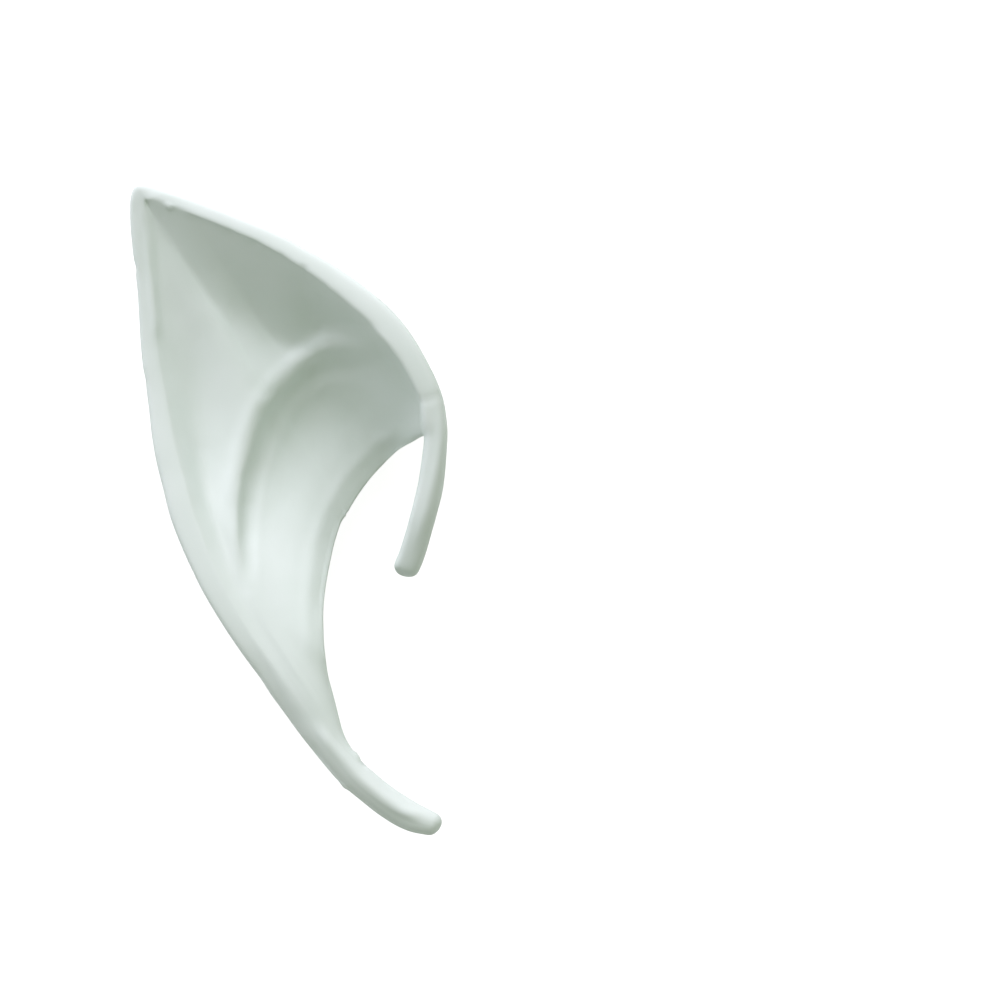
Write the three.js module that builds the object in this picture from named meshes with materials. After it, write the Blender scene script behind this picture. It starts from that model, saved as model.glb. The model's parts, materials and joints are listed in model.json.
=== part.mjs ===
// Elf ear tip for the right ear: one soft latex moulding that slips over the upper edge of the wearer's ear.
// Millimetres, +Z up. The ear lies on its back with the bowl facing up. X runs from the back edge towards
// the face, Y from the tail to the pointed tip, and the origin is under the middle of the ear, on the table.
//
// One closed wall makes the whole ear. A rolled rim runs from the front hook over the top to the tip, down
// the back edge and into the tail. The face hangs inwards from the rim: a valley under the top rim, the
// curved inner ridge, the conch behind it and the cut edge round the wearer's own ear. The back wall wraps
// in underneath, so that a pocket opens between the two for the rim of the wearer's ear.

import * as THREE from 'three';

// Driving sizes
const EAR_LENGTH = 97; // tail end to tip, along Y
const EAR_WIDTH = 47; // back edge to the bow of the top rim, along X
const EAR_HEIGHT = 25; // table to the crest of the top rim
const WALL = 1.5; // latex skin of the face and of the back
const RIM_WIDTH = 3.4; // rolled rim at its full width
const LIP_DROP = 1.5; // how far the face rolls over at the cut edge
const REST_LAND = 2.4; // flat band beside the back wall's cut edge, on which the ear lies

// Mesh resolution
const STATION_STEP = 2.6; // distance along the rim between two sections
const BEND_SAMPLES = 4; // points on each rounded bend of a section
const POCKET_SAMPLES = 8; // points on each side of the pocket in a section
const CAP_RINGS = 3; // shrinking rings that round a free end

// Sections across the ear, from the root of the hook over the top to the tip and down the back edge.
// Places in plan are shares of the ear's width and length, heights are shares of its height, and rim is
// the share of the full rim width, and roll how much of a quarter turn it rolls over towards the face.
// The columns ending in At are shares of the way from the rim to the cut edge. base is the height of the
// back wall's foot, pocket is how much of the pocket is open, and bar how far the section is a plain bar.
const SECTION_COLUMNS = [
  'edgeX', 'edgeY', 'crest', 'rim', 'roll', 'cutX', 'cutY', 'lip',
  'valleyAt', 'valley', 'ridgeAt', 'ridge', 'conchAt', 'conch', 'base', 'backAt', 'pocket', 'bar',
];
const SECTIONS = [
  [0.999, 0.624, 0.88, 1.12, 1.0, 0.925, 0.619, 0.76, 0.20, 0.78, 0.40, 0.77, 0.60, 0.765, 0.70, 0.80, 0.0, 1.0],
  [0.986, 0.673, 0.92, 1.00, 1.0, 0.883, 0.609, 0.50, 0.12, 0.76, 0.35, 0.68, 0.70, 0.58, 0.30, 0.85, 0.0, 0.0],
  [0.940, 0.728, 0.96, 1.10, 1.0, 0.845, 0.598, 0.36, 0.10, 0.75, 0.35, 0.61, 0.70, 0.44, 0.12, 0.75, 0.5, 0.0],
  [0.857, 0.790, 0.99, 1.17, 1.0, 0.810, 0.582, 0.27, 0.10, 0.74, 0.30, 0.60, 0.68, 0.36, 0.03, 0.62, 1.0, 0.0],
  [0.739, 0.843, 1.00, 1.11, 1.0, 0.775, 0.565, 0.235, 0.14, 0.655, 0.25, 0.59, 0.62, 0.32, 0.00, 0.50, 1.0, 0.0],
  [0.588, 0.892, 0.99, 0.91, 1.0, 0.744, 0.548, 0.23, 0.26, 0.515, 0.35, 0.52, 0.62, 0.28, 0.00, 0.42, 1.0, 0.0],
  [0.411, 0.936, 0.96, 0.76, 1.0, 0.718, 0.530, 0.23, 0.40, 0.44, 0.465, 0.48, 0.63, 0.26, 0.00, 0.40, 1.0, 0.0],
  [0.215, 0.974, 0.91, 0.67, 1.0, 0.696, 0.512, 0.245, 0.37, 0.475, 0.56, 0.49, 0.675, 0.25, 0.00, 0.42, 1.0, 0.0],
  [0.089, 0.994, 0.87, 0.65, 1.0, 0.684, 0.501, 0.255, 0.355, 0.53, 0.605, 0.51, 0.70, 0.26, 0.00, 0.44, 0.9, 0.0],
  [0.002, 1.007, 0.85, 0.71, 1.0, 0.674, 0.492, 0.265, 0.335, 0.57, 0.608, 0.515, 0.705, 0.27, 0.00, 0.46, 0.8, 0.0],
  [0.000, 0.954, 0.81, 0.74, 1.0, 0.661, 0.482, 0.275, 0.32, 0.60, 0.60, 0.52, 0.70, 0.28, 0.00, 0.45, 0.9, 0.0],
  [0.006, 0.900, 0.765, 0.76, 0.9, 0.652, 0.470, 0.29, 0.28, 0.585, 0.567, 0.53, 0.67, 0.295, 0.00, 0.43, 1.0, 0.0],
  [0.019, 0.839, 0.715, 0.79, 0.85, 0.642, 0.452, 0.315, 0.25, 0.54, 0.535, 0.535, 0.64, 0.325, 0.00, 0.40, 1.0, 0.0],
  [0.028, 0.747, 0.665, 0.88, 0.75, 0.630, 0.427, 0.365, 0.21, 0.495, 0.493, 0.53, 0.59, 0.37, 0.00, 0.37, 1.0, 0.0],
  [0.047, 0.670, 0.64, 1.00, 0.65, 0.620, 0.401, 0.41, 0.18, 0.48, 0.44, 0.535, 0.54, 0.42, 0.00, 0.37, 1.0, 0.0],
  [0.073, 0.585, 0.63, 1.15, 0.55, 0.614, 0.373, 0.46, 0.16, 0.495, 0.385, 0.55, 0.48, 0.47, 0.00, 0.38, 1.0, 0.0],
  [0.114, 0.501, 0.63, 1.24, 0.45, 0.611, 0.344, 0.51, 0.13, 0.54, 0.33, 0.57, 0.44, 0.52, 0.015, 0.42, 0.9, 0.0],
  [0.184, 0.416, 0.63, 1.18, 0.35, 0.611, 0.313, 0.545, 0.12, 0.57, 0.28, 0.575, 0.45, 0.555, 0.05, 0.48, 0.7, 0.0],
  [0.278, 0.332, 0.62, 1.06, 0.30, 0.614, 0.283, 0.56, 0.14, 0.59, 0.30, 0.59, 0.52, 0.575, 0.13, 0.60, 0.4, 0.1],
  [0.388, 0.255, 0.60, 0.94, 0.25, 0.622, 0.247, 0.55, 0.17, 0.58, 0.35, 0.585, 0.60, 0.575, 0.21, 0.75, 0.15, 0.35],
  [0.499, 0.178, 0.56, 0.88, 0.25, 0.642, 0.204, 0.53, 0.20, 0.545, 0.40, 0.55, 0.65, 0.545, 0.26, 0.85, 0.0, 0.75],
];
const TIP_ROW = 9; // the section at the point of the ear

// The two free ends are plain bars: both sides of the bar in plan, its crest and its underside.
const BAR_COLUMNS = ['edgeX', 'edgeY', 'cutX', 'cutY', 'crest', 'base'];
const HOOK = [
  [0.903, 0.409, 0.827, 0.424, 0.58, 0.43],
  [0.929, 0.440, 0.852, 0.454, 0.65, 0.495],
  [0.957, 0.488, 0.878, 0.498, 0.74, 0.58],
  [0.981, 0.535, 0.902, 0.543, 0.80, 0.635],
  [0.994, 0.575, 0.915, 0.580, 0.84, 0.675],
];
const TAIL = [
  [0.609, 0.109, 0.680, 0.146, 0.52, 0.34],
  [0.735, 0.050, 0.790, 0.089, 0.48, 0.31],
  [0.864, 0.011, 0.893, 0.056, 0.445, 0.28],
  [0.926, 0.004, 0.952, 0.039, 0.425, 0.27],
];

const UP = new THREE.Vector3(0, 0, 1);
const named = (columns) => (row) => Object.fromEntries(columns.map((name, i) => [name, row[i]]));
const mix = (a, b, t) => a + (b - a) * t;
const smooth = (t) => {
  const s = Math.min(1, Math.max(0, t));
  return s * s * (3 - 2 * s);
};

// A bar's section written with the columns of the shell's, so that both kinds loft into each other.
const BAR_PLACES = {
  rim: 1, roll: 1, valleyAt: 0.2, ridgeAt: 0.4, conchAt: 0.6, backAt: 0.8, pocket: 0, bar: 1,
};
function barSection(row) {
  const depth = row.crest - row.base;
  const level = row.crest - depth / 2;
  return { ...row, ...BAR_PLACES, valley: level, ridge: level, conch: level, lip: level };
}

const shellRows = SECTIONS.map(named(SECTION_COLUMNS));
const hookRows = HOOK.map(named(BAR_COLUMNS)).map(barSection);
const tailRows = TAIL.map(named(BAR_COLUMNS)).map(barSection);
const rows = [...hookRows, ...shellRows, ...tailRows];
const tipIndex = hookRows.length + TIP_ROW;

// A point from shares of the ear's width, length and height.
function place(x, y, z = 0) {
  return new THREE.Vector3((x - 0.5) * EAR_WIDTH, (y - 0.5) * EAR_LENGTH, z * EAR_HEIGHT);
}

// A smooth curve through one point for each row, read at a fractional row, with a corner at one row if asked.
function rail(points, corner = 0) {
  const lists = corner ? [points.slice(0, corner + 1), points.slice(corner)] : [points, points];
  const curves = lists.map((list) => new THREE.CatmullRomCurve3(list, false, 'centripetal'));
  const read = (u, method) => {
    const [curve, list, first] = corner && u <= corner ? [curves[0], lists[0], 0] : [curves[1], lists[1], corner];
    return curve[method](Math.min(1, (u - first) / (list.length - 1)));
  };
  return { at: (u) => read(u, 'getPoint'), along: (u) => read(u, 'getTangent') };
}
const numberRail = (values) => {
  const curve = rail(values.map((value, i) => new THREE.Vector3(i, value, 0)));
  return (u) => curve.at(u).y;
};

// The unit normal in plan that points out of the ear, from the direction of the outline.
function outwards(tangent) {
  return new THREE.Vector3(tangent.y, -tangent.x, 0).normalize();
}

const edge = rail(rows.map((row) => place(row.edgeX, row.edgeY)), tipIndex);
const rimHalf = numberRail(rows.map((row) => (row.rim * RIM_WIDTH) / 2));
const cut = rail(rows.map((row) => place(row.cutX, row.cutY, row.lip)), hookRows.length);
const rimRoll = numberRail(rows.map((row) => row.roll));
const barWeight = numberRail(rows.map((row) => row.bar));
const pocketShare = numberRail(rows.map((row) => row.pocket));

const BESIDE = 1e-4; // how far beside the tip its two tangents are read
const tipNormals = [outwards(edge.along(tipIndex - BESIDE)), outwards(edge.along(tipIndex + BESIDE))];

// The vector from the outline to the rim's inner edge, for a rim one unit wide. It is mitred at the tip.
function inwardAt(i) {
  if (i !== tipIndex) return outwards(edge.along(i)).negate();
  const [a, b] = tipNormals;
  return a.clone().add(b).negate().divideScalar(1 + a.dot(b));
}

const inner = rail(rows.map((row, i) => (
  place(row.edgeX, row.edgeY).addScaledVector(inwardAt(i), row.rim * RIM_WIDTH)
)), tipIndex);
const spine = rail(rows.map((row, i) => {
  const half = (row.rim * RIM_WIDTH) / 2;
  const point = place(row.edgeX, row.edgeY, row.crest).addScaledVector(inwardAt(i), half);
  return point.setZ(point.z - half);
}), tipIndex);

// A rail that runs a share of the way from the rim's inner edge to the cut edge, at its own height.
function faceRail(at, height) {
  return rail(rows.map((row, i) => {
    const from = inner.at(i);
    const to = place(row.cutX, row.cutY);
    return from.lerp(to, row[at]).setZ(row[height] * EAR_HEIGHT);
  }));
}
const valley = faceRail('valleyAt', 'valley');
const ridge = faceRail('ridgeAt', 'ridge');
const conch = faceRail('conchAt', 'conch');
const backEdge = rail(rows.map((row) => (
  place(row.edgeX, row.edgeY, row.base).lerp(place(row.cutX, row.cutY, row.base), row.backAt)
)));

// Points along a line of straight runs whose bends are rounded. Each bend takes the given share of its runs.
function roundedLine(points, shares) {
  const line = [points[0]];
  for (let k = 1; k < points.length - 1; k += 1) {
    const corner = points[k];
    const reach = shares[k - 1] / 2;
    const bend = new THREE.QuadraticBezierCurve3(
      corner.clone().lerp(points[k - 1], reach), corner, corner.clone().lerp(points[k + 1], reach),
    );
    for (let s = 0; s < BEND_SAMPLES; s += 1) line.push(bend.getPoint(s / (BEND_SAMPLES - 1)));
  }
  line.push(points[points.length - 1]);
  return line;
}

const TIP_STEPS = 3; // sections between the tip's row and the row on each side of it
const TIP_TURN = 1 / TIP_STEPS; // rows on each side of the tip over which the rim turns the corner

// The direction out of the ear in plan, turning evenly round the tip.
function outAt(u) {
  if (Math.abs(u - tipIndex) > TIP_TURN - BESIDE) return outwards(edge.along(u));
  const [from, to] = [tipIndex - TIP_TURN, tipIndex + TIP_TURN].map((v) => outwards(edge.along(v)));
  const share = (u - tipIndex + TIP_TURN) / (2 * TIP_TURN);
  const angle = from.angleTo(to) * share;
  const axis = from.clone().cross(to).normalize();
  return from.applyAxisAngle(axis, angle);
}

const RIM_SQUARENESS = 0.5; // 1 makes the rolled rim round, and less makes its top flatter and its fold sharper
const OUTER_ANGLES = [180, 150, 120, 90];
const INNER_TURNS = [0.3, 0.6, 0.9]; // shares of the rim's roll at the points past its crest
const rimAngles = (roll) => [...OUTER_ANGLES, ...INNER_TURNS.map((turn) => 90 * (1 - turn * roll))]
  .map(THREE.MathUtils.degToRad);

const LIP_AT = 0.65; // share of the way from the conch to the cut edge at which the face begins to roll over
const FACE_START = 0.12; // share of the way from the rim's roll to the valley at which the face begins
const FACE_BENDS = [0.7, 0.5, 0.8, 0.9]; // how round the valley, the ridge, the conch and the lip are

const squared = (value, squareness) => Math.sign(value) * Math.abs(value) ** squareness;

// The rolled rim from its outermost line over the crest to its inner side.
function rimArc(u) {
  const centre = spine.at(u);
  const half = rimHalf(u);
  const out = outAt(u).multiplyScalar(-half);
  const towards = inner.at(u).sub(centre).setZ(0);
  return rimAngles(rimRoll(u)).map((angle) => centre.clone()
    .addScaledVector(Math.cos(angle) < 0 ? out : towards, squared(Math.cos(angle), RIM_SQUARENESS))
    .addScaledVector(UP, half * squared(Math.sin(angle), RIM_SQUARENESS)));
}

// The face from the rim's inner side to the cut edge.
function faceLine(u) {
  const arc = rimArc(u);
  const start = arc[arc.length - 1].lerp(valley.at(u), FACE_START);
  const end = cut.at(u);
  const foot = conch.at(u);
  const lip = foot.clone().lerp(end, LIP_AT).setZ(end.z);
  end.setZ(end.z - LIP_DROP);
  return roundedLine([start, valley.at(u), ridge.at(u), foot, lip, end], FACE_BENDS);
}

const SIDE = { out: 0.9, down: 0.42 }; // the side's corner: share of the rim's half width out, of the drop down
const LAND_SHARE = 0.4; // the most of the way in that the flat band takes where the back wall is narrow
const TURN = { inwards: 0.42, up: 0.02 }; // the corner at the table: share of the way in, and of the drop up
const BACK_BENDS = [0.95, 0.95]; // how round those two corners are

// The outside from the rim's outermost line down and in under the ear to the back wall's cut edge.
function backLine(u) {
  const centre = spine.at(u);
  const out = outAt(u);
  const foot = backEdge.at(u);
  foot.setZ(Math.max(0, foot.z));
  const half = rimHalf(u);
  const drop = centre.z - foot.z;
  const start = centre.clone().addScaledVector(out, half);
  const side = centre.clone().addScaledVector(out, half * SIDE.out).setZ(foot.z + drop * SIDE.down);
  const inwards = foot.clone().sub(start).setZ(0);
  const reach = inwards.length();
  const land = foot.clone().addScaledVector(inwards, -Math.min(REST_LAND / reach, LAND_SHARE));
  const turn = start.clone().lerp(land, TURN.inwards).setZ(foot.z + drop * TURN.up);
  return [...roundedLine([start, side, turn, land], BACK_BENDS), foot].slice(1);
}

// Stations along the rim: every row, and even steps between two rows.
function stations() {
  const list = [];
  for (let i = 0; i < rows.length - 1; i += 1) {
    const length = edge.at(i).distanceTo(edge.at(i + 1));
    const besideTip = i === tipIndex - 1 || i === tipIndex;
    const steps = besideTip ? TIP_STEPS : Math.max(2, Math.round(length / STATION_STEP));
    for (let s = 0; s < steps; s += 1) list.push(i + s / steps);
  }
  return [...list, rows.length - 1];
}

// Unit normals of a grid of points, on the side that sign picks.
function gridNormals(grid, sign) {
  const pick = (list, k) => list[Math.min(list.length - 1, Math.max(0, k))];
  return grid.map((line, i) => line.map((point, j) => {
    const along = pick(grid, i + 1)[j].clone().sub(pick(grid, i - 1)[j]);
    const across = pick(line, j + 1).clone().sub(pick(line, j - 1));
    return along.cross(across).normalize().multiplyScalar(sign);
  }));
}

// A point part-way between the points of a line, moved along the normal there by the wall thickness.
function skinned(line, normals, at) {
  const k = Math.min(line.length - 2, Math.floor(at));
  const t = at - k;
  const normal = normals[k].clone().lerp(normals[k + 1], t).normalize();
  return line[k].clone().lerp(line[k + 1], t).addScaledVector(normal, -WALL);
}

const POCKET_FACE_START = 3; // first point of the face line behind which the pocket can open
const POCKET_BACK_START = 4; // first point of the back line in front of which the pocket can open

// The inside of the pocket, from the cut edge in behind the face, round, and out over the back wall.
// Where the pocket is shut, its points lie on the straight line between the two walls' ends.
function pocketLine(u, face, faceNormals, back, backNormals) {
  const open = pocketShare(u);
  const points = [];
  for (let s = 0; s < POCKET_SAMPLES; s += 1) {
    const t = s / (POCKET_SAMPLES - 1);
    points.push(skinned(face, faceNormals, mix(face.length - 1, POCKET_FACE_START, t)));
  }
  for (let s = POCKET_SAMPLES - 1; s >= 0; s -= 1) {
    const t = s / (POCKET_SAMPLES - 1);
    points.push(skinned(back, backNormals, mix(back.length - 1, POCKET_BACK_START, t)));
  }
  const from = face[face.length - 1];
  const to = back[back.length - 1];
  return points.map((point, k) => from.clone().lerp(to, (k + 1) / (points.length + 1)).lerp(point, open));
}

// The angles round a bar at which the parts of a shell section begin and end. The hook carries on the
// rolled rim alone, and the tail the rim with the face beside it.
const HOOK_ANGLES = { rim: [180, 9], face: [0, -55], pocket: [-60, -110], back: [-115, -170] };
const TAIL_ANGLES = { rim: [180, 112], face: [100, 0], pocket: [-12, -72], back: [-84, -168] };
const HOOK_SQUARENESS = 0.7; // how round the bars are, as for the rim
const TAIL_SQUARENESS = 0.95;

// A rounded bar with a point for each point of a shell section, given how many each part has.
function barLoop(u, counts) {
  const a = edge.at(u);
  const b = cut.at(u);
  const crest = spine.at(u).z + rimHalf(u);
  const bottom = backEdge.at(u).z;
  const centre = a.clone().lerp(b, 0.5).setZ((crest + bottom) / 2);
  const half = b.clone().sub(a).setZ(0).multiplyScalar(0.5);
  const [angles, squareness] = u < tipIndex ? [HOOK_ANGLES, HOOK_SQUARENESS] : [TAIL_ANGLES, TAIL_SQUARENESS];
  return Object.entries(angles).flatMap(([part, [from, to]]) => (
    Array.from({ length: counts[part] }, (_, k) => {
      const angle = THREE.MathUtils.degToRad(mix(from, to, k / (counts[part] - 1)));
      return centre.clone()
        .addScaledVector(half, squared(Math.cos(angle), squareness))
        .addScaledVector(UP, ((crest - bottom) / 2) * squared(Math.sin(angle), squareness));
    })
  ));
}

// Rings that shrink over a free end and close it with a round nose.
function capRings(ring, before, length) {
  const middle = ring.reduce((sum, p) => sum.add(p), new THREE.Vector3()).divideScalar(ring.length);
  const middleBefore = before.reduce((sum, p) => sum.add(p), new THREE.Vector3()).divideScalar(before.length);
  const ahead = middle.clone().sub(middleBefore).normalize().multiplyScalar(length);
  const rings = [];
  for (let k = 1; k <= CAP_RINGS; k += 1) {
    const turn = ((k / (CAP_RINGS + 1)) * Math.PI) / 2;
    rings.push(ring.map((p) => middle.clone().lerp(p, Math.cos(turn)).addScaledVector(ahead, Math.sin(turn))));
  }
  return { rings, nose: middle.clone().add(ahead) };
}

// Every section as a closed ring of points.
function sectionRings() {
  const us = stations();
  const faces = us.map(faceLine);
  const backs = us.map(backLine);
  const faceNormals = gridNormals(faces, 1);
  const backNormals = gridNormals(backs, -1);
  return us.map((u, i) => {
    const parts = {
      rim: rimArc(u),
      face: faces[i],
      pocket: pocketLine(u, faces[i], faceNormals[i], backs[i], backNormals[i]),
      back: [...backs[i]].reverse(),
    };
    const counts = Object.fromEntries(Object.entries(parts).map(([name, list]) => [name, list.length]));
    const bar = barLoop(u, counts);
    const weight = smooth(barWeight(u));
    return Object.values(parts).flat().map((point, k) => point.clone().lerp(bar[k], weight));
  });
}

// One closed skin over all the rings, with a nose at each end.
function skinGeometry() {
  const rings = sectionRings();
  const noseLength = RIM_WIDTH / 2;
  const start = capRings(rings[0], rings[1], noseLength);
  const end = capRings(rings[rings.length - 1], rings[rings.length - 2], noseLength);
  const all = [...[...start.rings].reverse(), ...rings, ...end.rings];
  const around = all[0].length;
  const points = [...all.flat(), start.nose, end.nose];
  const faces = [];
  for (let i = 0; i < all.length - 1; i += 1) {
    for (let k = 0; k < around; k += 1) {
      const [a, b] = [i * around + k, i * around + ((k + 1) % around)];
      faces.push([a, a + around, b + around], [a, b + around, b]);
    }
  }
  const lastRing = (all.length - 1) * around;
  for (let k = 0; k < around; k += 1) {
    const next = (k + 1) % around;
    faces.push([all.length * around, k, next], [all.length * around + 1, lastRing + next, lastRing + k]);
  }
  const geometry = new THREE.BufferGeometry();
  geometry.setAttribute('position', new THREE.Float32BufferAttribute(points.flatMap((p) => p.toArray()), 3));
  geometry.setIndex(faces.flat());
  geometry.computeBoundingBox();
  const middle = geometry.boundingBox.getCenter(new THREE.Vector3());
  geometry.translate(-middle.x, -middle.y, -geometry.boundingBox.min.z);
  geometry.computeVertexNormals();
  return geometry;
}

const latex = new THREE.MeshStandardMaterial({ color: 0xdfe8e2, roughness: 0.5, metalness: 0 });
const earTip = new THREE.Mesh(skinGeometry(), latex);
earTip.name = 'ear_tip';

const ear = new THREE.Group();
ear.add(earTip);

export default ear;
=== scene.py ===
"""A latex elf ear tip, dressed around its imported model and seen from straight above."""

from __future__ import annotations

import json
import logging
import math
from dataclasses import dataclass, field
from enum import Enum

import bmesh
import bpy
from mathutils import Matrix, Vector, noise

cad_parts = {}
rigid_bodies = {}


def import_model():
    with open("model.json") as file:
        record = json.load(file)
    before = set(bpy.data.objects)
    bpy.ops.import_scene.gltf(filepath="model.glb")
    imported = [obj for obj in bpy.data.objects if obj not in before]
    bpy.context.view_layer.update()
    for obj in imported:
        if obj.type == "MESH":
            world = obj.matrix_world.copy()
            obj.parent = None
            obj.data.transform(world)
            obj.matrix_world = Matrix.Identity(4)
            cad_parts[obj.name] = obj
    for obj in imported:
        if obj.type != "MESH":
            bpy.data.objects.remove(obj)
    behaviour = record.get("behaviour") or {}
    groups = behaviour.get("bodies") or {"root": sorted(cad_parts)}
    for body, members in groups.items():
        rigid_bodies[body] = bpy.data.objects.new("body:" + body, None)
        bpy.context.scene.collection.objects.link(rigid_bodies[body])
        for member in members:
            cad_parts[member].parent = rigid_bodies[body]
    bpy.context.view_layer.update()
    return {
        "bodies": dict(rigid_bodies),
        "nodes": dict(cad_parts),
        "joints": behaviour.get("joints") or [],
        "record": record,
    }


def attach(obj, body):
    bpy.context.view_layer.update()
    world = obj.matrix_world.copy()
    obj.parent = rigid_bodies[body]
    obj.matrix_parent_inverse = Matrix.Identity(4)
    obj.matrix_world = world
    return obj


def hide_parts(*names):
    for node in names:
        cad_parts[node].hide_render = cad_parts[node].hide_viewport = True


log = logging.getLogger("ear_tip")

MM = 0.001

# A colour Mix node has several sockets of each name: these are its two colours and its result.
MIX_FIRST = 6
MIX_SECOND = 7
MIX_RESULT = 2


def linear(hex_colour: str) -> tuple[float, float, float, float]:
    """Turn an sRGB hex colour into linear RGBA.

    Args:
        hex_colour: Six hex digits, such as "dfe8e2".

    Returns:
        The linear red, green and blue, with an alpha of 1.
    """
    channels = [int(hex_colour[i:i + 2], 16) / 255 for i in (0, 2, 4)]
    red, green, blue = (
        c / 12.92 if c <= 0.04045 else ((c + 0.055) / 1.055) ** 2.4 for c in channels
    )
    return red, green, blue, 1.0


def add_node(
    tree: bpy.types.NodeTree,
    kind: str,
    settings: dict[str, object] | None = None,
    inputs: dict[str | int, object] | None = None,
) -> bpy.types.Node:
    """Add a node with its settings, its values and its incoming links.

    Args:
        tree: The tree that the node goes into.
        kind: The node's type name.
        settings: Values of the node's own properties.
        inputs: For each input socket, by its name or its number, a value or the output that feeds it.

    Returns:
        The new node.
    """
    node = tree.nodes.new(kind)
    for name, value in (settings or {}).items():
        setattr(node, name, value)
    for name, value in (inputs or {}).items():
        if isinstance(value, bpy.types.NodeSocket):
            tree.links.new(value, node.inputs[name])
        else:
            node.inputs[name].default_value = value
    return node


def smooth_step(low: float, high: float, value: float) -> float:
    """Rise smoothly from 0 at low to 1 at high."""
    t = min(1.0, max(0.0, (value - low) / (high - low)))
    return t * t * (3 - 2 * t)


@dataclass(frozen=True)
class PhotoFrame:
    """The photograph's frame, laid over the plane in which the ear lies."""

    pixels: int = 1000
    mm_per_pixel: float = 0.1485
    ear_centre: tuple[float, float] = (290.5, 512.0)
    lens_mm: float = 200.0
    sensor_mm: float = 36.0
    focus_height_mm: float = 14.0
    clip_m: tuple[float, float] = (0.01, 20.0)

    def point(self, x: float, y: float, height_mm: float = 0.0) -> Vector:
        """Find the place in the row frame that a pixel of the photograph shows.

        Args:
            x: Pixels from the photograph's left.
            y: Pixels from its top.
            height_mm: How high above the floor the place is.

        Returns:
            The place, in metres.
        """
        across = (x - self.ear_centre[0]) * self.mm_per_pixel
        along = (self.ear_centre[1] - y) * self.mm_per_pixel
        return Vector((across, along, height_mm)) * MM

    def place_camera(self) -> bpy.types.Object:
        """Place the camera straight above the middle of the photograph.

        Returns:
            The camera's object.
        """
        width = self.pixels * self.mm_per_pixel * MM
        distance = width * self.lens_mm / self.sensor_mm
        data = bpy.data.cameras.new("camera")
        data.lens = self.lens_mm
        data.sensor_width = self.sensor_mm
        data.clip_start, data.clip_end = self.clip_m
        camera = bpy.data.objects.new("camera", data)
        middle = self.point(self.pixels / 2, self.pixels / 2, self.focus_height_mm)
        camera.location = middle + Vector((0, 0, distance))
        bpy.context.scene.collection.objects.link(camera)
        bpy.context.scene.camera = camera
        return camera


@dataclass(frozen=True)
class CastLatex:
    """Pale mint latex, slush-cast in a mould and powdered: a dense satin skin, faintly uneven.

    Real latex has an IOR of about 1.52, and its powdered skin is too rough for a sharp highlight. It is cast
    thick enough to be opaque. The cloudy mottle is where it cured unevenly. The mould's grain is finer than
    0.7 mm in fact: it is drawn that coarse so that it shows.
    """

    colour: str = "e6eeeb"
    cloud_colour: str = "dee9e3"
    mottle_mm: float = 9.0
    mottle_detail: float = 3.0
    grain_mm: float = 0.7
    grain_detail: float = 2.0
    grain_height_mm: float = 0.02
    grain_strength: float = 0.6
    roughness: float = 0.58
    ior: float = 1.52

    def build(self) -> bpy.types.Material:
        """Make the material.

        Returns:
            The material, which reads Object coordinates in metres.
        """
        material = bpy.data.materials.new("cast_latex")
        material.use_nodes = True
        tree = material.node_tree
        tree.nodes.clear()
        place = add_node(tree, "ShaderNodeTexCoord")
        mottle = add_node(
            tree,
            "ShaderNodeTexNoise",
            inputs={
                "Vector": place.outputs["Object"],
                "Scale": 1 / (self.mottle_mm * MM),
                "Detail": self.mottle_detail,
            },
        )
        colour = add_node(
            tree,
            "ShaderNodeMix",
            settings={"data_type": "RGBA"},
            inputs={
                "Factor": mottle.outputs["Fac"],
                MIX_FIRST: linear(self.colour),
                MIX_SECOND: linear(self.cloud_colour),
            },
        )
        grain = add_node(
            tree,
            "ShaderNodeTexNoise",
            inputs={
                "Vector": place.outputs["Object"],
                "Scale": 1 / (self.grain_mm * MM),
                "Detail": self.grain_detail,
            },
        )
        bump = add_node(
            tree,
            "ShaderNodeBump",
            inputs={
                "Height": grain.outputs["Fac"],
                "Distance": self.grain_height_mm * MM,
                "Strength": self.grain_strength,
            },
        )
        shader = add_node(
            tree,
            "ShaderNodeBsdfPrincipled",
            inputs={
                "Base Color": colour.outputs[MIX_RESULT],
                "Roughness": self.roughness,
                "IOR": self.ior,
                "Normal": bump.outputs["Normal"],
            },
        )
        add_node(tree, "ShaderNodeOutputMaterial", inputs={"Surface": shader.outputs["BSDF"]})
        return material


class Touch(Enum):
    """What a finishing stroke does to the skin under it."""

    RAISE = 1
    PRESS = -1
    SOFTEN = 0


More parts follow.
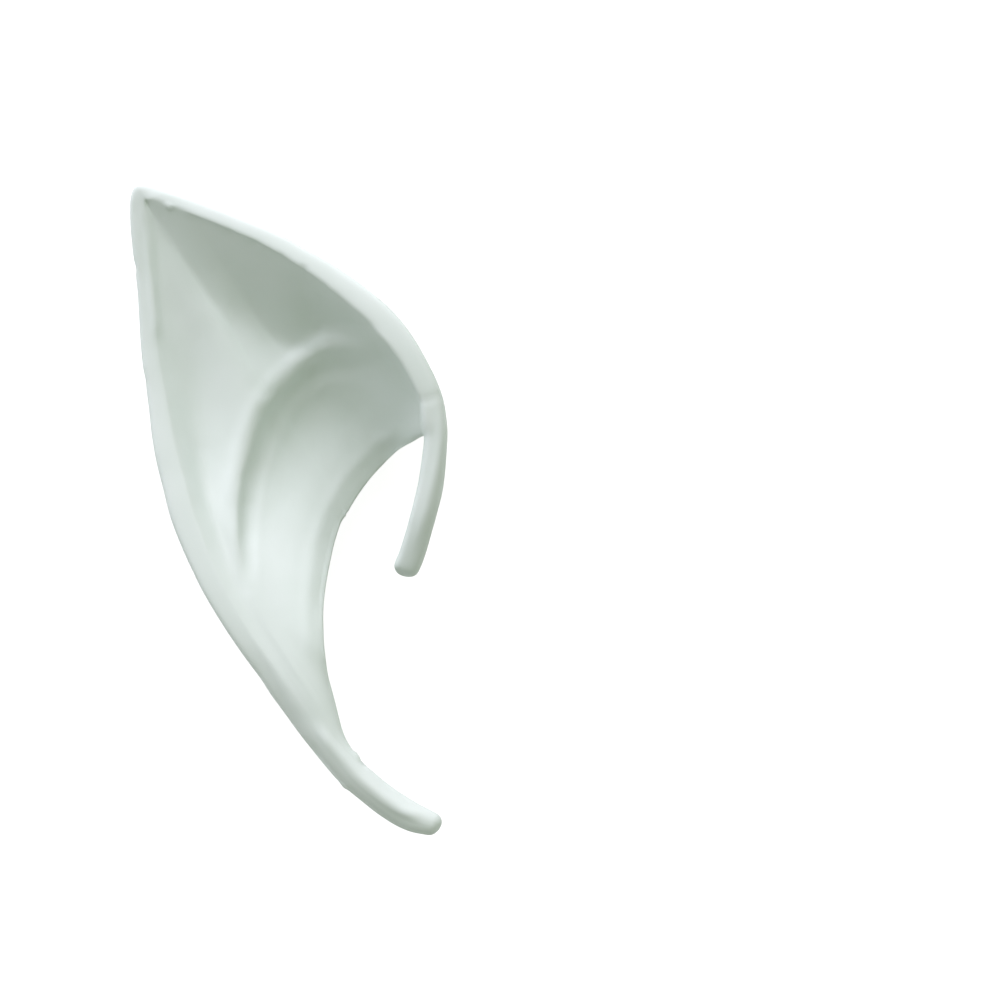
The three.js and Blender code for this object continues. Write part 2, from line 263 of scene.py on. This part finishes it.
@dataclass(frozen=True)
class Stroke:
    """One finishing stroke over the skin, along a line that is read off the photograph.

    The line is in the photograph's pixels. Its reach to either side, its depth and the length over which it
    fades at its ends are in millimetres. It works on skin that faces up at least as much as facing says, and
    at full strength from facing_fade above that.
    """

    name: str
    touch: Touch
    line: tuple[tuple[float, float], ...]
    reach: float
    depth: float = 0.0
    fade: float = 3.0
    passes: int = 0
    facing: float = 0.15
    facing_fade: float = 0.3
    strength_at_ends: float = 0.25

    def corners(self, photo: PhotoFrame) -> list[Vector]:
        """Give the line's corners on the plane of the floor, in metres."""
        return [photo.point(x, y).to_2d() for x, y in self.line]

    def weight(self, corners: list[Vector], spot: Vector) -> float:
        """Say how strongly the stroke acts on a spot.

        Args:
            corners: The line's corners on the plane of the floor, in metres.
            spot: The spot on that plane, in metres.

        Returns:
            From 0 outside the stroke to 1 on its line, fading towards its two ends.
        """
        best, along, run = math.inf, 0.0, 0.0
        for start, end in zip(corners, corners[1:]):
            step = end - start
            share = min(1.0, max(0.0, (spot - start).dot(step) / step.length_squared))
            distance = (start + step * share - spot).length
            if distance < best:
                best, along = distance, run + step.length * share
            run += step.length
        if best >= self.reach * MM:
            return 0.0
        falloff = (1 - (best / (self.reach * MM)) ** 2) ** 2
        if not self.fade:
            return falloff
        near_end = min(along, run - along)
        fade = self.fade * MM
        return falloff * smooth_step(0.0, fade, near_end + self.strength_at_ends * fade)


@dataclass(frozen=True)
class Dab:
    """One small lump or nick at a pixel of the photograph, its sizes in millimetres.

    It fades out down the wall below it, from full_share of its depth to the whole depth.
    """

    name: str
    at: tuple[float, float]
    reach: float
    lift: float
    depth: float = 6.0
    full_share: float = 0.2
    facing: float = -0.2


# The folds that the photograph shows as soft.
TIP_FOLD = Stroke(
    "tip fold",
    Touch.SOFTEN,
    ((168, 225), (200, 282), (232, 330), (262, 372)),
    4.0,
    passes=60,
)
CONCH_BEND = Stroke(
    "conch bend",
    Touch.SOFTEN,
    ((330, 395), (298, 420), (284, 440), (268, 480)),
    4.0,
    passes=30,
)
VALLEY_FLOOR = Stroke(
    "valley floor",
    Touch.SOFTEN,
    ((205, 300), (203, 350), (205, 420)),
    4.0,
    passes=30,
)
BACK_RIM_FOLD = Stroke(
    "fold inside the back rim",
    Touch.SOFTEN,
    (
        (152, 216), (156, 260), (160, 300), (164, 340), (170, 380), (178, 420), (190, 460), (205, 500),
        (222, 545),
    ),
    1.5,
    passes=25,
)

# The low relief of the back rim and the inner ridge.
BACK_RIM_BEAD = Stroke(
    "bead of the back rim below the tip",
    Touch.RAISE,
    ((146, 205), (151, 232), (153, 265), (155, 297), (159, 338)),
    1.2,
    0.26,
    fade=3.0,
)
RIDGE_LIP = Stroke(
    "lip of the inner ridge",
    Touch.RAISE,
    (
        (336, 337), (325, 340), (314, 345), (303, 353), (292, 362), (279, 375), (266, 391), (254, 411),
        (246, 431), (239, 455), (234, 478), (232, 510),
    ),
    2.0,
    0.28,
    fade=5.0,
)
RIDGE_ROOT = Stroke(
    "root of the ridge under the top rim",
    Touch.RAISE,
    ((306, 351), (318, 344), (330, 340), (343, 339), (358, 341), (372, 347), (386, 356)),
    2.9,
    0.85,
    fade=6.0,
    facing=-0.3,
)
RIDGE_HOLLOW = Stroke(
    "hollow under the inner ridge",
    Touch.PRESS,
    (
        (372, 376), (355, 370), (335, 368), (318, 374), (303, 382), (287, 396), (275, 412), (263, 440),
        (253, 475), (248, 510), (246, 545), (249, 585),
    ),
    2.0,
    0.42,
    fade=6.0,
)

# The rolled cut edge, the hook and the tail.
CUT_ROLL = Stroke(
    "start of the rolled cut edge",
    Touch.RAISE,
    (
        (402, 430), (380, 442), (356, 462), (338, 485), (322, 515), (312, 545), (308, 580), (307, 620),
        (310, 660),
    ),
    1.6,
    0.10,
    fade=6.0,
)
CUT_DROOP = Stroke(
    "droop of the rolled cut edge",
    Touch.PRESS,
    (
        (418, 436), (402, 444), (385, 455), (370, 470), (358, 485), (349, 502), (341, 520), (335, 540),
        (330, 562), (327, 585), (326, 620),
    ),
    3.0,
    0.3,
    fade=5.0,
    facing=0.35,
)
HOOK_CREASE = Stroke(
    "crease along the hook",
    Touch.RAISE,
    ((442, 405), (442, 436), (439, 462), (433, 486), (427, 508), (421, 530), (416, 548)),
    1.2,
    0.22,
    fade=4.0,
)
HOOK_STEP = Stroke(
    "step where the hook begins",
    Touch.PRESS,
    ((417, 403), (430, 400), (444, 394)),
    0.9,
    0.12,
    fade=0.0,
)
TAIL_RIDGE = Stroke(
    "crease along the tail",
    Touch.RAISE,
    ((318, 728), (330, 745), (345, 762), (358, 777), (372, 790), (386, 801), (402, 812), (422, 820)),
    1.3,
    0.34,
    fade=4.0,
)
TAIL_UNDERCUT = Stroke(
    "hollow under the tail's crease",
    Touch.PRESS,
    ((306, 742), (322, 763), (340, 783), (360, 802), (385, 818), (410, 829)),
    1.7,
    0.3,
    fade=4.0,
)

# Two faint grooves where the back rim meets the flat beside the inner ridge.
BACK_GROOVES = (
    Stroke(
        "groove beside the back rim",
        Touch.PRESS,
        ((186, 428), (198, 470), (212, 515), (232, 565)),
        1.2,
        0.12,
        fade=8.0,
    ),
    Stroke(
        "second groove",
        Touch.PRESS,
        ((205, 470), (218, 520), (232, 560)),
        1.0,
        0.08,
        fade=8.0,
    ),
)

# Each stroke works on the skin that those before it left.
STROKES = (
    TIP_FOLD, CONCH_BEND, VALLEY_FLOOR, BACK_RIM_FOLD, BACK_RIM_BEAD, RIDGE_HOLLOW, RIDGE_LIP, RIDGE_ROOT,
    CUT_ROLL, CUT_DROOP, HOOK_CREASE, HOOK_STEP, TAIL_RIDGE, TAIL_UNDERCUT, *BACK_GROOVES,
)

# What casting and trimming left along the rim and on the tail.
DABS = (
    Dab("speck at the tip", (172, 209), 0.7, 0.3),
    Dab("lump on the tail's inner edge", (357, 755), 0.9, 0.3),
    Dab("notch after it", (364, 765), 0.7, -0.28),
    Dab("lump on the tail's outer edge", (344, 787), 1.0, 0.2),
    Dab("flat at the back", (139, 380), 2.0, -0.15),
    Dab("step in the back edge", (133, 270), 1.3, -0.22),
    Dab("first nick in the rim's fold", (233, 235), 0.7, -0.16),
    Dab("second nick", (257, 246), 0.6, -0.2),
    Dab("third nick", (283, 259), 0.7, -0.14),
    Dab("fourth nick", (306, 271), 0.8, -0.2),
    Dab("last nick", (326, 288), 0.7, -0.12),
)


@dataclass
class EarTip:
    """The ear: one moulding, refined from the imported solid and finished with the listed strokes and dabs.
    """

    photo: PhotoFrame
    latex: CastLatex = field(default_factory=CastLatex)
    node: str = "ear_tip"
    slot: str = "latex"
    merge_mm: float = 0.002
    joined_fold_degrees: float = 60.0
    joined_shape_degrees: float = 120.0
    detail_levels: int = 2
    soften_factor: float = 0.5
    # The waver's sizes and swings in mm, its share up and down, and the heights in mm between which that
    # share sets in, so that the ear still lies flat. The noise is random until it is seeded.
    waver: tuple[tuple[float, float], ...] = ((7.0, 0.16), (3.0, 0.05))
    waver_seed: int = 7
    waver_upward: float = 0.4
    waver_sets_in: tuple[float, float] = (0.5, 3.0)

    def solid_copy(self, solid: bpy.types.Object) -> bmesh.types.BMesh:
        """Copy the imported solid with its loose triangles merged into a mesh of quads.

        Args:
            solid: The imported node's object.

        Returns:
            The merged copy.
        """
        mesh = bmesh.new()
        mesh.from_mesh(solid.data)
        bmesh.ops.remove_doubles(mesh, verts=mesh.verts, dist=self.merge_mm * MM)
        bmesh.ops.join_triangles(
            mesh,
            faces=mesh.faces,
            angle_face_threshold=math.radians(self.joined_fold_degrees),
            angle_shape_threshold=math.radians(self.joined_shape_degrees),
        )
        return mesh

    def refined(self, mesh: bmesh.types.BMesh) -> bmesh.types.BMesh:
        """Round a mesh with a subdivision surface and give back the finer mesh.

        Args:
            mesh: The coarse mesh, which is freed.

        Returns:
            The fine mesh.
        """
        data = bpy.data.meshes.new("coarse_skin")
        mesh.to_mesh(data)
        mesh.free()
        coarse = bpy.data.objects.new("coarse_skin", data)
        bpy.context.scene.collection.objects.link(coarse)
        surface = coarse.modifiers.new("round", "SUBSURF")
        surface.levels = surface.render_levels = self.detail_levels
        graph = bpy.context.evaluated_depsgraph_get()
        smooth = bpy.data.meshes.new_from_object(coarse.evaluated_get(graph))
        fine = bmesh.new()
        fine.from_mesh(smooth)
        bpy.data.objects.remove(coarse)
        bpy.data.meshes.remove(data)
        bpy.data.meshes.remove(smooth)
        return fine

    def under(self, mesh: bmesh.types.BMesh, stroke: Stroke) -> dict[bmesh.types.BMVert, float]:
        """Find the points of the upper skin that a stroke reaches.

        Args:
            mesh: The fine mesh, with its normals up to date.
            stroke: The stroke.

        Returns:
            The stroke's weight at each point that it acts on.
        """
        corners = stroke.corners(self.photo)
        reach = stroke.reach * MM
        low = [min(c[axis] for c in corners) - reach for axis in (0, 1)]
        high = [max(c[axis] for c in corners) + reach for axis in (0, 1)]
        touched = {}
        for vert in mesh.verts:
            x, y, _ = vert.co
            if low[0] < x < high[0] and low[1] < y < high[1] and vert.normal.z > stroke.facing:
                weight = stroke.weight(corners, vert.co.to_2d())
                weight *= smooth_step(stroke.facing, stroke.facing + stroke.facing_fade, vert.normal.z)
                if weight > 0:
                    touched[vert] = weight
        return touched

    def draw(self, mesh: bmesh.types.BMesh, stroke: Stroke) -> None:
        """Work one stroke into the skin.

        Args:
            mesh: The fine mesh.
            stroke: The stroke.
        """
        mesh.normal_update()
        touched = self.under(mesh, stroke)
        if stroke.touch is Touch.SOFTEN:
            for _ in range(stroke.passes):
                bmesh.ops.smooth_vert(
                    mesh,
                    verts=list(touched),
                    factor=self.soften_factor,
                    use_axis_x=True,
                    use_axis_y=True,
                    use_axis_z=True,
                )
        else:
            for vert, weight in touched.items():
                vert.co += vert.normal * (stroke.touch.value * stroke.depth * MM * weight)
        log.info("%s: %d points", stroke.name, len(touched))

    def dab(self, mesh: bmesh.types.BMesh, dab: Dab) -> None:
        """Work one lump or nick into the skin, fading down the wall below it.

        Args:
            mesh: The fine mesh.
            dab: The lump or nick.
        """
        mesh.normal_update()
        centre = self.photo.point(*dab.at).to_2d()
        touched = {}
        for vert in mesh.verts:
            distance = (vert.co.to_2d() - centre).length / (dab.reach * MM)
            if distance < 1 and vert.normal.z > dab.facing:
                touched[vert] = (1 - distance**2) ** 2
        top = max(vert.co.z for vert in touched)
        depth = dab.depth * MM
        for vert, weight in touched.items():
            weight *= smooth_step(top - depth, top - dab.full_share * depth, vert.co.z)
            vert.co += vert.normal * (dab.lift * MM * weight)

    def shake(self, mesh: bmesh.types.BMesh) -> None:
        """Give the skin the slight waver of soft latex that was trimmed by hand.

        Args:
            mesh: The fine mesh.
        """
        noise.seed_set(self.waver_seed)
        low, high = (height * MM for height in self.waver_sets_in)
        for size, swing in self.waver:
            for vert in mesh.verts:
                drift = noise.noise_vector(vert.co / (size * MM))
                drift.z *= self.waver_upward * smooth_step(low, high, vert.co.z)
                vert.co += drift * (swing * MM)

    def build(self, frame: dict) -> bpy.types.Object:
        """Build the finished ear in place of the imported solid.


        Returns:
            The finished piece.
        """
        mesh = self.refined(self.solid_copy(frame["nodes"][self.node]))
        for stroke in STROKES:
            self.draw(mesh, stroke)
        for dab in DABS:
            self.dab(mesh, dab)
        self.shake(mesh)
        data = bpy.data.meshes.new("ear_skin")
        mesh.to_mesh(data)
        mesh.free()
        for face in data.polygons:
            face.use_smooth = True
        data.materials.append(self.latex.build())
        piece = bpy.data.objects.new("ear_skin", data)
        bpy.context.scene.collection.objects.link(piece)
        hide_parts(self.node)
        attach(piece, "root")
        log.info("ear skin: %d faces", len(data.polygons))
        return piece


@dataclass(frozen=True)
class Lamp:
    """One square soft light: where it hangs and its side in metres, its watts and its sRGB hex colour."""

    name: str
    place: tuple[float, float, float]
    size: float
    watts: float
    colour: str

    def hang(self) -> bpy.types.Object:
        """Hang the light so that it faces the ear.

        Returns:
            The light's object.
        """
        data = bpy.data.lights.new(self.name, "AREA")
        data.shape = "SQUARE"
        data.size = self.size
        data.energy = self.watts
        data.color = linear(self.colour)[:3]
        light = bpy.data.objects.new(self.name, data)
        place = Vector(self.place)
        light.location = place
        light.rotation_mode = "QUATERNION"
        light.rotation_quaternion = (-place).to_track_quat("-Z", "Y")
        bpy.context.scene.collection.objects.link(light)
        return light


@dataclass(frozen=True)
class Studio:
    """A plain pale floor under plain soft light, brightest from the pointed end."""

    floor_size: float = 3.0
    floor_colour: str = "b4b5b4"
    floor_roughness: float = 0.9
    floor_glow: float = 0.85
    bounce_colour: str = "ebecea"
    lamps: tuple[Lamp, ...] = (
        Lamp("key", (-0.37, 1.13, 0.74), 1.0, 24.2, "f5eefd"),
        Lamp("top", (0.85, 0.3, 1.1), 1.2, 4.6, "f8faf8"),
        Lamp("left fill", (-1.0, -0.35, 0.4), 0.6, 1.6, "ebe8ff"),
    )
    sky_colour: str = "f2ffe0"
    sky_strength: float = 0.275

    def floor(self) -> bpy.types.Object:
        """Lay the floor: an opal sheet lit from below, which sends plain light back at the ear.

        Returns:
            The floor's object.
        """
        mesh = bmesh.new()
        bmesh.ops.create_grid(mesh, x_segments=1, y_segments=1, size=self.floor_size / 2)
        data = bpy.data.meshes.new("floor")
        mesh.to_mesh(data)
        mesh.free()
        material = bpy.data.materials.new("opal_light_sheet")
        material.use_nodes = True
        tree = material.node_tree
        tree.nodes.clear()
        lit = add_node(
            tree,
            "ShaderNodeBsdfPrincipled",
            inputs={
                "Base Color": linear(self.floor_colour),
                "Roughness": self.floor_roughness,
                "Emission Color": linear("ffffff"),
                "Emission Strength": self.floor_glow,
            },
        )
        dull = add_node(tree, "ShaderNodeBsdfDiffuse", inputs={"Color": linear(self.bounce_colour)})
        path = add_node(tree, "ShaderNodeLightPath")
        seen = add_node(
            tree,
            "ShaderNodeMixShader",
            inputs={0: path.outputs["Is Camera Ray"], 1: dull.outputs["BSDF"], 2: lit.outputs["BSDF"]},
        )
        add_node(tree, "ShaderNodeOutputMaterial", inputs={"Surface": seen.outputs["Shader"]})
        data.materials.append(material)
        ground = bpy.data.objects.new("floor", data)
        bpy.context.scene.collection.objects.link(ground)
        return ground

    def build(self) -> None:
        """Set the floor, the lights and the sky."""
        self.floor()
        for lamp in self.lamps:
            lamp.hang()
        world = bpy.data.worlds.new("sky")
        world.use_nodes = True
        sky = world.node_tree.nodes["Background"]
        sky.inputs["Color"].default_value = linear(self.sky_colour)
        sky.inputs["Strength"].default_value = self.sky_strength
        bpy.context.scene.world = world
        bpy.context.scene.view_settings.view_transform = "Standard"


def main() -> None:
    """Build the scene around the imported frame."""
    logging.basicConfig(level=logging.INFO, format="%(name)s: %(message)s")
    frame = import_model()
    photo = PhotoFrame()
    photo.place_camera()
    Studio().build()
    ear = EarTip(photo).build(frame)
    log.info("built %s", ear.name)
    bpy.context.view_layer.update()


if __name__ == "__main__":
    main()
